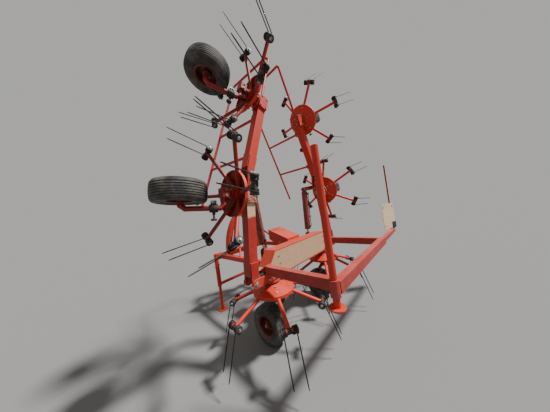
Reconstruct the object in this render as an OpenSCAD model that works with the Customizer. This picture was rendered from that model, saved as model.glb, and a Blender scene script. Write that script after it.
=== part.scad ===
// Six-rotor hay tedder for a three-point hitch, both wings folded up for transport.
// Origin: on the ground below the middle of the machine's outline at rest.
// +X to the right when facing forward, +Y forward to the tractor, +Z up.

/* [Layout] */
// Distance between neighbouring rotor axes
pitch = 1050; // [1040:5:1090]
// Height of the rotor dish rims above the ground
hub_z = 600; // [580:5:640]
// Height of the drive line and of the fold pins above the dish rims
line_h = 150; // [145:1:160]
// Fold pin outboard of the centre rotor axis
hinge_in = 250; // [240:5:280]
// Contour pin outboard of the inner wing's rotor axis
hinge_out = 200; // [190:5:220]
// Fold angle of the inner wing sections at rest
fold_in = 96.5; // [92:0.5:100]
// Fold angle of the outer wing sections at rest
fold_out = 112; // [106:0.5:114]

/* [Rotors] */
// Radius of the dish at its rim
dish_r = 205; // [190:5:220]
// Height of the dish cone
dish_h = 62; // [50:1:64]
// Thickness of the dish sheet
dish_t = 5; // [4:0.5:8]
// Depth of the turned-down rim
rim_drop = 26; // [22:1:30]
// Radius of the rotor hub
hub_r = 62; // [55:1:66]
// Number of tine arms on a rotor
arm_count = 6; // [6:1:6]
// Arm tube diameter
arm_d = 34; // [28:1:38]
// Radius at which the tine coils sit
coil_at = 457; // [440:1:480]
// Drop of the coils below the dish rim
coil_drop = 138; // [125:1:145]
// Direction of the first arm of the odd rotors, seen from above
first_arm = 57; // [50:1:60]

/* [Spring tines] */
// Wire diameter
wire_d = 9.5; // [8:0.1:11]
// Mean radius of a coil
coil_r = 26; // [25.8:0.1:27]
// Turns in each coil
coil_turns = 4; // [3:1:4]
// Length of the long finger
finger_long = 352; // [320:1:370]
// Length of the short finger
finger_short = 326; // [300:1:350]
// Outward lean of the fingers
finger_lean = 18; // [10:1:22]

/* [Wheels] */
// Tyre outside diameter
tyre_d = 400; // [380:5:410]
// Tyre width
tyre_w = 165; // [150:5:170]
// Rim seat diameter
rim_d = 204; // [200:1:220]
// Wheel centre ahead of the rotor axis
wheel_y = 120; // [100:5:200]
// Side reach of the bent wheel arm
leg_reach = 128; // [122:1:140]
// Wheel arm tube diameter
leg_d = 42; // [36:1:44]
// Wheel axle diameter
axle_d = 30; // [25:1:34]

/* [Beams] */
// Side of the square wing tubes
tube = 90; // [80:1:92]
// Wall of the square wing tubes
tube_wall = 8; // [5:0.5:12]
// Half length of the centre box at its top
box_half = 500; // [480:5:510]
// Half length of the centre box at its widest
box_wide = 610; // [600:5:620]
// Half length of the centre box at its underside
box_foot = 420; // [410:5:440]
// Depth of the centre box
box_depth = 150; // [140:2:160]
// Height of the centre box top above the ground
box_top = 970; // [940:5:990]
// Wall of the centre box
box_wall = 12; // [8:1:16]
// Fold pin diameter
pin_d = 30; // [26:1:34]
// Thickness of the hinge plates
plate = 14; // [12:1:18]

/* [Fold cylinders] */
// Barrel diameter
barrel_d = 84; // [76:1:88]
// Rod diameter
rod_d = 35; // [30:1:40]
// Distance of the cylinders ahead of the drive line
cyl_y = 150; // [146:1:160]
// Barrel pin outboard of the fold pin, along the wing
lug_along = 883; // [880:1:890]
// Barrel pin above the drive line
lug_up = 175; // [165:1:185]
// Rod eye beside the centre plane
eye_x = 445; // [430:1:460]
// Rod eye above the ground
eye_z = 930; // [920:1:940]

/* [Headstock] */
// Lower link pins ahead of the rotor axes
hitch_y = 1200; // [1150:5:1250]
// Lower link pins above the ground
hitch_z = 780; // [760:5:800]
// Distance between the lower link points
hitch_span = 825; // [820:1:830]
// Hole for the lower link pins
link_hole_d = 28.7; // [28.5:0.1:29]
// Top link point above the lower link points
mast_h = 610; // [600:5:620]
// Hole for the top link pin
top_hole_d = 25.7; // [25.5:0.1:26]
// Half width of the curved mast at its foot
mast_foot = 280; // [270:5:290]
// Thickness of the mast's bent flat tube
mast_t = 60; // [50:1:66]
// Depth of the mast's bent flat tube
mast_w = 100; // [80:2:110]
// Input shaft diameter
pto_d = 34.9; // [34.8:0.1:35]
// Input shaft above the drive line
pto_up = 110; // [100:5:115]
// Half width of the hood over the input shaft
hood_half = 120; // [118:1:140]
// Front edge of the hood ahead of the rotor axes
hood_y = 395; // [380:5:420]

/* [Rear carrier] */
// Cross tube behind the rotor axes
rear_y = 750; // [740:5:780]
// Height of the carrier tubes
rear_z = 820; // [810:5:830]
// Half width of the carrier
rear_half = 620; // [600:5:630]
// Rear stand leg diameter
post_d = 48; // [44:1:52]
// Rear stand leg length
post_len = 1057; // [1000:1:1100]
// Rod of the warning board beside the centre plane
board_x = 1370; // [1340:5:1375]
// Width of the warning board
board_w = 275; // [260:5:282]
// Height of the warning board
board_h = 365; // [350:5:380]
// Turn of the warning board towards the left
board_turn = 20; // [10:1:25]
// Length of the board's rod
board_rod = 980; // [950:10:1000]

/* [Guards] */
// Guard bar ahead of the outer rotor axes
guard_y = 700; // [690:5:740]
// Guard tube diameter
guard_d = 30; // [26:1:34]

/* [Fits] */
// Radial running clearance of pins, hubs and axles
run_fit = 0.05; // [0.03:0.01:0.1]
// Gap between seated curved faces
seat_gap = 0.3; // [0.2:0.05:0.5]
// Height of the weld beads at tube mitres
weld = 1.2; // [0.8:0.1:2]

/* [Hidden] */
$fn = 48;
pin_z = hub_z + line_h;
inner_rotor_x = pitch - hinge_in;
outer_rotor_x = pitch - hinge_out;
contour_x = inner_rotor_x + hinge_out;
kink = fold_out - fold_in;
wheel_z = tyre_d / 2 - hub_z;
stub_r = 30;
hub_top = dish_h + 4;
hub_low = -20;
head_low = hub_top + 6;
head_r = 80;
head_l = 150;
head_w = 130;
head_h = 100;
lug_r = 38;
wing_plate_in = tube / 2 - 1;
wing_plate_out = wing_plate_in + plate + 2;
frame_plate_in = wing_plate_out + 1;
frame_plate_out = frame_plate_in + plate;
spool_r = coil_r - wire_d / 2 - seat_gap;
turn = wire_d;
coil_len = (coil_turns - 1) * turn;
coil_gap = arm_d + 4;
groove = 2.4;
finger_r = wire_d / 2 - 0.45;
finger_at = coil_r - 0.3;
arm_start = [42, 0, dish_h - 28];
coil_pos = [coil_at, 0, -coil_drop];
barrel_pin = [
    pitch / 2 + hinge_in + lug_along * cos(fold_in) - lug_up * sin(fold_in),
    cyl_y,
    pin_z + lug_along * sin(fold_in) + lug_up * cos(fold_in)
];
rod_eye = [eye_x, cyl_y, eye_z];
cyl_len = norm(barrel_pin - rod_eye);
cyl_tilt = atan2(barrel_pin[0] - rod_eye[0], barrel_pin[2] - rod_eye[2]);
barrel_len = cyl_len - 92;
eye_r = 28;
eye_w = 36;
fork_in = eye_w / 2 + seat_gap + 1.7;
fork_out = fork_in + 12;
cyl_pin_r = 12.5;
crossbar = 70;
upright_x = 505;
upright_r = 30;
leg_r = 20;
low_bar_z = 380;
box_low = pin_z - 38;
arm_x = 420;
post_x = -rear_half - 60;
post_sleeve_r = 34;
foot_t = 10;
post_low = 695;
foot_r = 55;
boom_half = 25;
stand_len = 490;
stand_foot = 60;
gear_box_half = 110;
gear_box_l = 190;
gear_box_top = 170;
dish_tilt = atan2(dish_h, dish_r - hub_r);
petal_at = (dish_r + hub_r) / 2;
arm_tilt = atan2(arm_start[2] - coil_pos[2], coil_pos[0] - arm_start[0]);
mast_up = mast_h - 40;
clevis_t = 12;
clevis_gap = 54;
clevis_half = 45;
mast_in = clevis_gap / 2 + clevis_t;
mast_r = (mast_foot - mast_in) / 2 + mast_up * mast_up / (2 * (mast_foot - mast_in));
link_ahead = 65;
link_nose = 30;
ball_room = 35;
mast_front = hitch_y + link_ahead - ball_room;
mast_back = mast_front - mast_w;
plate_root = 180;
// The shapes below are drawn from the middle of the centre rotor axes, this far behind the origin.
drawn_back = (hitch_y + link_ahead + link_nose - rear_y - foot_r) / 2;

// Rotors are numbered 1 to 6 from the left wing tip to the right one.
// Side of a rotor: -1 left, 1 right.
function side(k) = k <= 3 ? -1 : 1;
// Section that carries a rotor: 0 centre, 1 inner wing, 2 outer wing.
function section(k) = k <= 3 ? 3 - k : k - 4;
// Neighbouring rotors turn against each other with their arms half a step apart.
function arm_phase(k) = side(k) * (k % 2 == 1 ? first_arm : 180 / arm_count - first_arm);

module on_side(s) {
    mirror([s < 0 ? 1 : 0, 0, 0]) children();
}

module inner_place() {
    translate([pitch / 2 + hinge_in, 0, pin_z]) rotate([0, -fold_in, 0]) children();
}

module outer_place() {
    inner_place() translate([contour_x, 0, 0]) rotate([0, -kink, 0]) children();
}

module section_place(n) {
    if (n == 0) translate([pitch / 2, 0, hub_z]) children();
    if (n == 1) inner_place() translate([inner_rotor_x, 0, -line_h]) children();
    if (n == 2) outer_place() translate([outer_rotor_x, 0, -line_h]) children();
}

module at_rotor(k) {
    on_side(side(k)) section_place(section(k)) children();
}

// Round bar from a to b
module bar(a, b, r) {
    d = b - a;
    translate(a)
        rotate([0, acos(d[2] / norm(d)), atan2(d[1], d[0])])
            cylinder(r = r, h = norm(d));
}

// Round tube through a list of points, with a weld bead at each mitre
module bent_tube(points, r) {
    for (i = [0 : len(points) - 2]) bar(points[i], points[i + 1], r);
    for (i = [1 : len(points) - 2]) translate(points[i]) sphere(r = r + weld);
}

// Box from its low corner to its high corner
module block(low, high) {
    translate(low) cube(high - low);
}

// Disc or boss whose axis lies along X, centred at [y, z]
module x_disc(at, r, x0, x1) {
    translate([x0, at[0], at[1]]) rotate([0, 90, 0]) cylinder(r = r, h = x1 - x0);
}

// Profile in the Y-Z plane, extruded from x0 to x1
module x_plate(outline, x0, x1) {
    translate([x0, 0, 0]) rotate([90, 0, 90]) linear_extrude(x1 - x0) polygon(outline);
}

// Profile in the X-Z plane, extruded from y0 to y1
module y_plate(outline, y0, y1) {
    translate([0, y1, 0]) rotate([90, 0, 0]) linear_extrude(y1 - y0) polygon(outline);
}

// Disc or boss whose axis lies along Y, centred at [x, z]
module y_disc(at, r, y0, y1) {
    translate([at[0], y1, at[1]]) rotate([90, 0, 0]) cylinder(r = r, h = y1 - y0);
}

// Cast bevel gear head; its origin is on the rotor axis at the drive line
module gear_head() {
    low = head_low - line_h;
    translate([0, 0, low]) cylinder(r = head_r, h = 14);
    translate([0, 0, low + 14]) cylinder(r = head_r - 14, h = -head_h / 2 - low);
    block([-head_l / 2, -head_w / 2, -head_h / 2], [head_l / 2, head_w / 2, head_h / 2]);
    translate([0, 0, head_h / 2]) cylinder(r = head_w / 2 - 14, h = 12);
}

// Pair of tapered hinge plates between y0 and y1 on both sides: half height root at x0,
// rounded to radius r about the pin at x1
module hinge_plates(x0, x1, y0, y1, root, r) {
    for (s = [-1, 1]) {
        a = s > 0 ? y0 : -y1;
        b = s > 0 ? y1 : -y0;
        y_plate([[x0, -root], [x1, -r], [x1, r], [x0, root]], a, b);
        y_disc([x1, 0], r, a, b);
    }
}

// Fold pins, one each side, that leave room for the drive joint between them
module hinge_pins(x) {
    for (s = [-1, 1]) {
        a = s > 0 ? wing_plate_in - 2 : -frame_plate_out - 8;
        y_disc([x, 0], pin_d / 2, a, a + frame_plate_out + 10 - wing_plate_in);
    }
}

// Holes for the fold pins
module hinge_bores(x) {
    y_disc([x, 0], pin_d / 2 + run_fit, -frame_plate_out, frame_plate_out);
}

// Square wing tube along X
module wing_tube(x0, x1) {
    difference() {
        block([x0, -tube / 2, -tube / 2], [x1, tube / 2, tube / 2]);
        block(
            [x0 + tube_wall, tube_wall - tube / 2, tube_wall - tube / 2],
            [x1 - tube_wall, tube / 2 - tube_wall, tube / 2 - tube_wall]
        );
    }
}

// Sheet hood over the input shaft, open below and ahead
module shaft_hood() {
    y0 = box_depth / 2 - 1;
    sheet = 5;
    low = pin_z + gear_box_top + sheet;
    rear_top = box_top + 30;
    front_top = box_top + 145;
    difference() {
        translate([-hood_half, 0, 0]) rotate([90, 0, 90]) linear_extrude(2 * hood_half) polygon([
            [y0, low], [y0, rear_top], [hood_y, front_top], [hood_y, front_top - 130],
            [y0 + gear_box_l, low]
        ]);
        translate([sheet - hood_half, 0, 0]) rotate([90, 0, 90])
            linear_extrude(2 * (hood_half - sheet)) polygon([
                [y0 + sheet, low - 20], [y0 + sheet, rear_top - sheet + 1],
                [hood_y + 20, front_top - sheet + 7], [hood_y + 20, low - 20]
            ]);
    }
}

// Centre box with its end gear heads, hinge plates and hood
module main_beam() {
    box_mid = pin_z + 81;
    outline = [
        [-box_half, box_top], [-box_wide, box_mid], [-box_foot, box_low], [box_foot, box_low],
        [box_wide, box_mid], [box_half, box_top]
    ];
    in_top = box_half - box_wall / 2;
    in_wide = box_wide - box_wall * 5 / 3;
    in_foot = box_foot - box_wall / 3;
    hollow = [
        [-in_top, box_top - box_wall], [-in_wide, box_mid + 2], [-in_foot, box_low + box_wall],
        [in_foot, box_low + box_wall], [in_wide, box_mid + 2], [in_top, box_top - box_wall]
    ];
    color("indianred") {
        difference() {
            y_plate(outline, -box_depth / 2, box_depth / 2);
            y_plate(hollow, box_wall - box_depth / 2, box_depth / 2 - box_wall);
        }
        shaft_hood();
        for (s = [-1, 1]) on_side(s) {
            translate([pitch / 2, 0, pin_z]) gear_head();
            translate([0, 0, pin_z]) {
                hinge_plates(
                    box_foot + 20, pitch / 2 + hinge_in, frame_plate_in, frame_plate_out,
                    lug_r, lug_r
                );
                hinge_pins(pitch / 2 + hinge_in);
            }
            // Seat of the rear carrier's arm
            block(
                [rear_half - 60, -frame_plate_out - 5, pin_z - lug_r],
                [rear_half + 30, -frame_plate_in, rear_z + 45]
            );
            // Fork for the rod eye, standing on the headstock arm's root
            for (t = [-1, 1]) {
                a = cyl_y + (t > 0 ? fork_in : -fork_out);
                block([eye_x - 34, a, hitch_z + 30], [eye_x + 34, a + fork_out - fork_in, eye_z]);
                y_disc([eye_x, eye_z], 34, a, a + fork_out - fork_in);
            }
            block(
                [eye_x - 34, box_depth / 2 - 2, hitch_z + 30],
                [eye_x + 34, cyl_y + fork_out, hitch_z + 50]
            );
        }
    }
}

// Central bevel gearbox with the input shaft
module gearbox() {
    y0 = box_depth / 2;
    face = y0 + gear_box_l;
    color("dimgray") {
        block([-gear_box_half, y0, pin_z - 20], [gear_box_half, face, pin_z + gear_box_top]);
        translate([0, 0, pin_z + pto_up]) {
            y_disc([0, 0], 58, face, face + 25);
            y_disc([0, 0], pto_d / 2, face + 25, face + 110);
        }
        translate([0, y0 + gear_box_l / 2, pin_z + gear_box_top]) cylinder(r = 60, h = 16);
    }
}

// Sleeve of a front stand leg with its bore
module leg_sleeve() {
    difference() {
        translate([0, 0, low_bar_z - 30]) cylinder(r = upright_r, h = hitch_z - low_bar_z + 80);
        translate([0, 0, low_bar_z - 40]) cylinder(r = leg_r + run_fit, h = hitch_z);
    }
}

// Half of the curved mast: an arc of flat tube from the crossbar up to the top link
module mast_arc() {
    foot_z = hitch_z + mast_h - mast_up;
    centre = [mast_foot - mast_r, foot_z];
    difference() {
        y_disc(centre, mast_r + mast_t / 2, mast_back, mast_front, $fn = 360);
        y_disc(centre, mast_r - mast_t / 2, mast_back - 1, mast_front + 1, $fn = 360);
        block([-2 * mast_r, mast_back - 1, foot_z - 2 * mast_r], [mast_r, mast_front + 1, hitch_z]);
        block([-2 * mast_r, mast_back - 1, 0], [mast_in, mast_front + 1, foot_z + 2 * mast_r]);
    }
}

// A-frame for the tractor's three-point linkage
module headstock() {
    reach = upright_x - leg_r - 4;
    top_z = hitch_z + mast_h;
    color("firebrick") {
        for (s = [-1, 1]) on_side(s) {
            block(
                [arm_x - 30, box_depth / 2, hitch_z - 30],
                [arm_x + 30, hitch_y - crossbar / 2 + 1, hitch_z + 30]
            );
            translate([upright_x, hitch_y, 0]) leg_sleeve();
            mast_arc();
            bar([60, hitch_y - 5, top_z - 40], [arm_x - 5, 680, hitch_z + 10], 14);
        }
        block(
            [-reach, hitch_y - crossbar / 2, hitch_z - crossbar / 2],
            [reach, hitch_y + crossbar / 2, hitch_z + crossbar / 2]
        );
        translate([-reach, hitch_y, low_bar_z]) rotate([0, 90, 0]) cylinder(r = 22, h = 2 * reach);
    }
}

// Two ears on a back plate with a pin hole through both; pin is its [y, z]
module clevis(pin, back, straight, nose, hole_d) {
    low = pin[1] - clevis_half;
    high = pin[1] + clevis_half;
    x = clevis_gap / 2;
    difference() {
        union() {
            block([-x - 1, back, low], [x + 1, back + 6, high]);
            for (x0 = [-x - clevis_t, x]) {
                x_plate([
                    [back, low], [straight, low], [pin[0], pin[1] - nose],
                    [pin[0], pin[1] + nose], [straight, high], [back, high]
                ], x0, x0 + clevis_t);
                x_disc(pin, nose, x0, x0 + clevis_t);
            }
        }
        x_disc(pin, hole_d / 2, -x - clevis_t - 1, x + clevis_t + 1);
    }
}

// Clevises for the tractor's two lower links and its top link
module link_clevises() {
    pin_y = hitch_y + link_ahead;
    seat = hitch_y + crossbar / 2;
    color("firebrick") {
        for (s = [-1, 1]) translate([s * hitch_span / 2, 0, 0])
            clevis([pin_y, hitch_z], seat, seat + 6, link_nose, link_hole_d);
        clevis([pin_y, hitch_z + mast_h], mast_back, mast_front, 30, top_hole_d);
    }
}

// Two telescopic legs that stand on the ground
module front_stand() {
    color("firebrick") for (s = [-1, 1]) translate([s * upright_x, hitch_y, 0]) {
        cylinder(r = leg_r, h = stand_len);
        block([-stand_foot, -stand_foot, 0], [stand_foot, stand_foot, 8]);
    }
}

// Side arm of the rear carrier, or the hollow in it
module carrier_arm(s, wall) {
    on_side(s) block(
        [rear_half - 30 + wall, -rear_y, rear_z - 40 + wall],
        [rear_half + 30 - wall, -frame_plate_out - 5 - wall, rear_z + 40 - wall]
    );
}

// Cross tube of the rear carrier, or the hollow in it
module carrier_bar(wall) {
    block(
        [wall - rear_half - 30, wall - rear_y - 30, rear_z - 40 + wall],
        [rear_half + 70 - wall, 30 - wall - rear_y, rear_z + 40 - wall]
    );
}

// Rectangular carrier behind the rotors with the warning board's extension
module rear_carrier() {
    y = -rear_y;
    wall = 6;
    rod_r = 12;
    sheet = 6;
    color("firebrick") {
        difference() {
            union() {
                for (s = [-1, 1]) carrier_arm(s, 0);
                carrier_bar(0);
            }
            for (s = [-1, 1]) carrier_arm(s, wall);
            carrier_bar(wall);
        }
        block(
            [rear_half + 70, y - boom_half, rear_z - boom_half],
            [board_x - 20, y + boom_half, rear_z + boom_half]
        );
        translate([board_x, y, rear_z - boom_half]) cylinder(r = 24, h = 2 * boom_half);
        translate([board_x, y, rear_z]) cylinder(r = rod_r, h = board_rod);
        // Sleeve of the rear stand
        difference() {
            union() {
                translate([post_x, y, rear_z - 50]) cylinder(r = post_sleeve_r, h = 110);
                block([post_x, y - 22, rear_z - 36], [5 - rear_half - 30, y + 22, rear_z + 36]);
            }
            translate([post_x, y, rear_z - 60]) cylinder(r = post_d / 2 + run_fit, h = 130);
        }
    }
    color("wheat") translate([board_x, y, rear_z + boom_half + 10]) rotate([0, 0, -board_turn])
        block([50 - board_w, -rod_r - sheet + 0.5, 0], [50, 0.5 - rod_r, board_h]);
}

// Raised prop with a round foot
module rear_stand() {
    color("firebrick") translate([post_x, -rear_y, post_low]) {
        cylinder(r = foot_r, h = foot_t);
        cylinder(r = post_d / 2, h = post_len);
    }
}

// Inner wing section with its gear head, hinge plates and cylinder lug
module inner_beam(s) {
    color("firebrick") on_side(s) inner_place() {
        difference() {
            union() {
                wing_tube(60, inner_rotor_x);
                wing_tube(inner_rotor_x, contour_x - 60);
                hinge_plates(plate_root, 0, wing_plate_in, wing_plate_out, tube / 2 - 2, lug_r - 2);
            }
            hinge_bores(0);
        }
        translate([inner_rotor_x, 0, 0]) gear_head();
        hinge_plates(
            inner_rotor_x + 60, contour_x, frame_plate_in, frame_plate_out, head_h / 2 - 2, lug_r
        );
        hinge_pins(contour_x);
        // Bracket and pin of the cylinder barrel
        for (t = [-1, 1]) {
            a = cyl_y + (t > 0 ? fork_in : -fork_out);
            block([lug_along - 30, a, 20], [lug_along + 30, a + fork_out - fork_in, lug_up]);
            y_disc([lug_along, lug_up], 30, a, a + fork_out - fork_in);
        }
        block([lug_along - 30, tube / 2 - 2, -20], [lug_along + 30, cyl_y + fork_out, 20]);
        y_disc([lug_along, lug_up], cyl_pin_r, cyl_y - fork_out - 6, cyl_y + fork_out + 6);
    }
}

// Outer wing section
module outer_beam(s) {
    color("firebrick") on_side(s) outer_place() {
        difference() {
            union() {
                wing_tube(60, outer_rotor_x);
                hinge_plates(plate_root, 0, wing_plate_in, wing_plate_out, tube / 2 - 2, lug_r - 2);
            }
            hinge_bores(0);
        }
        translate([outer_rotor_x, 0, 0]) gear_head();
    }
}

// Bent tube guard on the outer wing section
module guard(s) {
    r = guard_d / 2;
    z = -70;
    tip = outer_rotor_x + 728;
    color("firebrick") on_side(s) outer_place() {
        bent_tube([
            [-274, guard_y, z], [tip - 40, guard_y, z], [tip, guard_y - 40, z], [tip, 30, z + 35],
            [tip - 30, 0, z + 60], [outer_rotor_x + head_l / 2 + 1, 0, 0]
        ], r);
        for (x = [plate_root + 35, outer_rotor_x - head_l / 2 - 75]) {
            bar([x, guard_y, z], [x, tube / 2 + 30, 0], r);
            block([x - 30, tube / 2, -30], [x + 30, tube / 2 + 36, 30]);
        }
        block(
            [outer_rotor_x + head_l / 2, -30, -30],
            [outer_rotor_x + head_l / 2 + 12, 30, 30]
        );
    }
}

// Fixed axle through a rotor with the bent arm that carries its wheel
module wheel_leg(k) {
    r = leg_d / 2;
    at_rotor(k) {
        translate([0, 0, -95]) cylinder(r = stub_r, h = 95 + head_low);
        translate([0, 0, hub_low - 14]) cylinder(r = 45, h = 10);
        block([-40, -40, -128], [40, 40, -68]);
        bent_tube([
            [-20, 0, -100], [-leg_reach + 28, 0, -100], [-leg_reach, 12, -128],
            [-leg_reach, wheel_y - 12, wheel_z + 32], [-leg_reach + 26, wheel_y, wheel_z],
            [-50, wheel_y, wheel_z]
        ], r);
        translate([-70, wheel_y, wheel_z]) rotate([0, 90, 0]) cylinder(r = axle_d / 2, h = 132);
        translate([53, wheel_y, wheel_z]) rotate([0, 90, 0]) cylinder(r = 24, h = 8);
    }
}

// Pad stamped down into the dish between two arms
module petal() {
    translate([petal_at, 0, dish_h / 2]) rotate([0, dish_tilt, 0]) translate([0, 0, -dish_t - 6])
        cylinder(r = 36, h = dish_t + 3);
}

// Arm from the dish out to the spool that carries the tine coils
module arm() {
    bar(arm_start, coil_pos, arm_d / 2);
    // Saddle that holds the arm against the dish
    translate(arm_start) rotate([0, arm_tilt, 0])
        block([116, -arm_d / 2 - 4, 0], [164, arm_d / 2 + 4, arm_d / 2 + 11]);
    translate(coil_pos) {
        half = coil_gap / 2 + coil_len + wire_d + 3;
        y_disc([0, 0], spool_r, -half, half);
        for (s = [-1, 1]) y_disc([0, 0], coil_r, s > 0 ? half - 1 : -half - 4, s > 0 ? half + 4 : -half + 1);
    }
}

// Dish, hub and arms
module rotor(k) {
    color("firebrick") at_rotor(k) rotate([0, 0, arm_phase(k)]) difference() {
        union() {
            translate([0, 0, hub_low]) cylinder(r = hub_r - 12, h = hub_top - hub_low);
            translate([0, 0, dish_h - 20]) cylinder(r = hub_r, h = hub_top - dish_h + 20);
            rotate_extrude() polygon([
                [hub_r - 14, dish_h], [hub_r, dish_h], [dish_r, 0], [dish_r, -rim_drop],
                [dish_r - dish_t, -rim_drop], [dish_r - dish_t, -dish_t],
                [hub_r - 14, dish_h - dish_t - 2]
            ]);
            for (i = [0 : arm_count - 1]) rotate([0, 0, 360 / arm_count * i]) {
                arm();
                rotate([0, 0, 180 / arm_count]) petal();
            }
        }
        translate([0, 0, hub_low - 1]) cylinder(r = stub_r + run_fit, h = hub_top - hub_low + 2);
    }
}

// Coil with a groove between its turns, along the turning axis from 0
module coil() {
    inner = coil_r - wire_d / 2;
    outer = coil_r + wire_d / 2;
    crest = [for (i = [0 : coil_turns - 1], p = [
        [outer, i * turn + 1], [outer, (i + 1) * turn - 3], [outer - groove, (i + 1) * turn - 1]
    ]) p];
    rotate_extrude() polygon(concat(
        [[inner, 0], [outer - 1, 0]], crest, [[inner, coil_turns * turn - 1]]
    ));
}

// Double coil spring tine: two coils on the spool, a bridge and two straight fingers
module tine() {
    dir = [sin(finger_lean), 0, -cos(finger_lean)];
    root = [cos(finger_lean), 0, sin(finger_lean)] * finger_at;
    translate(coil_pos) {
        for (s = [-1, 1]) {
            rotate([s * 90, 0, 0]) translate([0, 0, coil_gap / 2]) coil();
            start = root - [0, s * (coil_gap / 2 + coil_len + wire_d / 2 - 1), 0];
            bar(start, start + dir * (s > 0 ? finger_long : finger_short), finger_r);
        }
        y_disc([coil_r, 0], wire_d / 2 - 0.7, -coil_gap / 2 - 3, coil_gap / 2 + 3);
    }
}

module tines(k) {
    color("dimgray") at_rotor(k) rotate([0, 0, arm_phase(k)])
        for (i = [0 : arm_count - 1]) rotate([0, 0, 360 / arm_count * i]) tine();
}

// Place with the wheel axle along the turned profile's axis
module at_wheel(k) {
    at_rotor(k) translate([0, wheel_y, wheel_z]) rotate([0, 90, 0]) children();
}

// Pressed steel rim with its hub
module rim(k) {
    seat = rim_d / 2;
    color("firebrick") at_wheel(k) rotate_extrude() polygon([
        [axle_d / 2 + run_fit, -48], [36, -48], [36, -8], [seat - 12, -8], [seat - 8, -66],
        [seat + 8, -72], [seat + 8, -67.5], [seat - 0.3, -67], [seat - 0.3, 67],
        [seat + 8, 67.5], [seat + 8, 72], [seat - 8, 66], [seat - 12, 2], [36, 2], [36, 48],
        [axle_d / 2 + run_fit, 48]
    ]);
}

// Implement tyre
module tyre(k) {
    seat = rim_d / 2;
    out = tyre_d / 2;
    half = tyre_w / 2;
    color("dimgray") at_wheel(k) rotate_extrude() polygon([
        [seat, -66], [seat + 12, -66], [seat + 28, -half + 4], [(seat + out) / 2, -half],
        [out - 22, -half + 2], [out - 6, -half + 14], [out, -half + 40],
        [out, half - 40], [out - 6, half - 14], [out - 22, half - 2], [(seat + out) / 2, half],
        [seat + 28, half - 4], [seat + 12, 66], [seat, 66]
    ]);
}

// Local frame of a cylinder: origin at the barrel pin, -Z towards the rod eye
module cylinder_place(s) {
    on_side(s) translate(barrel_pin) rotate([0, cyl_tilt, 0]) children();
}

module cylinder_barrel(s) {
    color("maroon") cylinder_place(s) difference() {
        union() {
            translate([0, 0, -barrel_len]) cylinder(r = barrel_d / 2, h = barrel_len - 40);
            y_disc([0, 0], eye_r, -eye_w / 2, eye_w / 2);
            block([4 - eye_r, -eye_w / 2, -45], [eye_r - 4, eye_w / 2, 0]);
        }
        y_disc([0, 0], cyl_pin_r + run_fit, -eye_w, eye_w);
        translate([0, 0, -barrel_len + 40]) cylinder(r = barrel_d / 2 - 9.7, h = barrel_len - 90);
        translate([0, 0, -barrel_len - 1]) cylinder(r = rod_d / 2 + run_fit, h = 60);
    }
}

module cylinder_rod(s) {
    color("silver") cylinder_place(s) {
        translate([0, 0, -cyl_len + 20]) cylinder(r = rod_d / 2, h = cyl_len - 80);
        translate([0, 0, -70]) cylinder(r = barrel_d / 2 - 10, h = 12);
        y_disc([0, -cyl_len], eye_r, -eye_w / 2, eye_w / 2);
        y_disc([0, -cyl_len], cyl_pin_r, -fork_in + seat_gap, fork_in - seat_gap);
    }
}

translate([0, -drawn_back, 0]) {
    main_beam();
    gearbox();
    headstock();
    link_clevises();
    front_stand();
    rear_carrier();
    rear_stand();
    color("firebrick") {  // centre_wheel_legs
        wheel_leg(3);
        wheel_leg(4);
    }
    inner_beam(-1);  // inner_beam_left
    inner_beam(1);  // inner_beam_right
    color("firebrick") wheel_leg(2);  // inner_wheel_leg_left
    color("firebrick") wheel_leg(5);  // inner_wheel_leg_right
    outer_beam(-1);  // outer_beam_left
    outer_beam(1);  // outer_beam_right
    color("firebrick") wheel_leg(1);  // outer_wheel_leg_left
    color("firebrick") wheel_leg(6);  // outer_wheel_leg_right
    guard(-1);  // guard_left
    guard(1);  // guard_right
    cylinder_barrel(-1);  // cylinder_barrel_left
    cylinder_barrel(1);  // cylinder_barrel_right
    cylinder_rod(-1);  // cylinder_rod_left
    cylinder_rod(1);  // cylinder_rod_right
    rotor(1);  // rotor_1
    rotor(2);  // rotor_2
    rotor(3);  // rotor_3
    rotor(4);  // rotor_4
    rotor(5);  // rotor_5
    rotor(6);  // rotor_6
    tines(1);  // tines_1
    tines(2);  // tines_2
    tines(3);  // tines_3
    tines(4);  // tines_4
    tines(5);  // tines_5
    tines(6);  // tines_6
    rim(1);  // rim_1
    rim(2);  // rim_2
    rim(3);  // rim_3
    rim(4);  // rim_4
    rim(5);  // rim_5
    rim(6);  // rim_6
    tyre(1);  // tyre_1
    tyre(2);  // tyre_2
    tyre(3);  // tyre_3
    tyre(4);  // tyre_4
    tyre(5);  // tyre_5
    tyre(6);  // tyre_6
}
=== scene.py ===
import math

import bmesh
import bpy
from mathutils import Matrix, Vector


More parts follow.
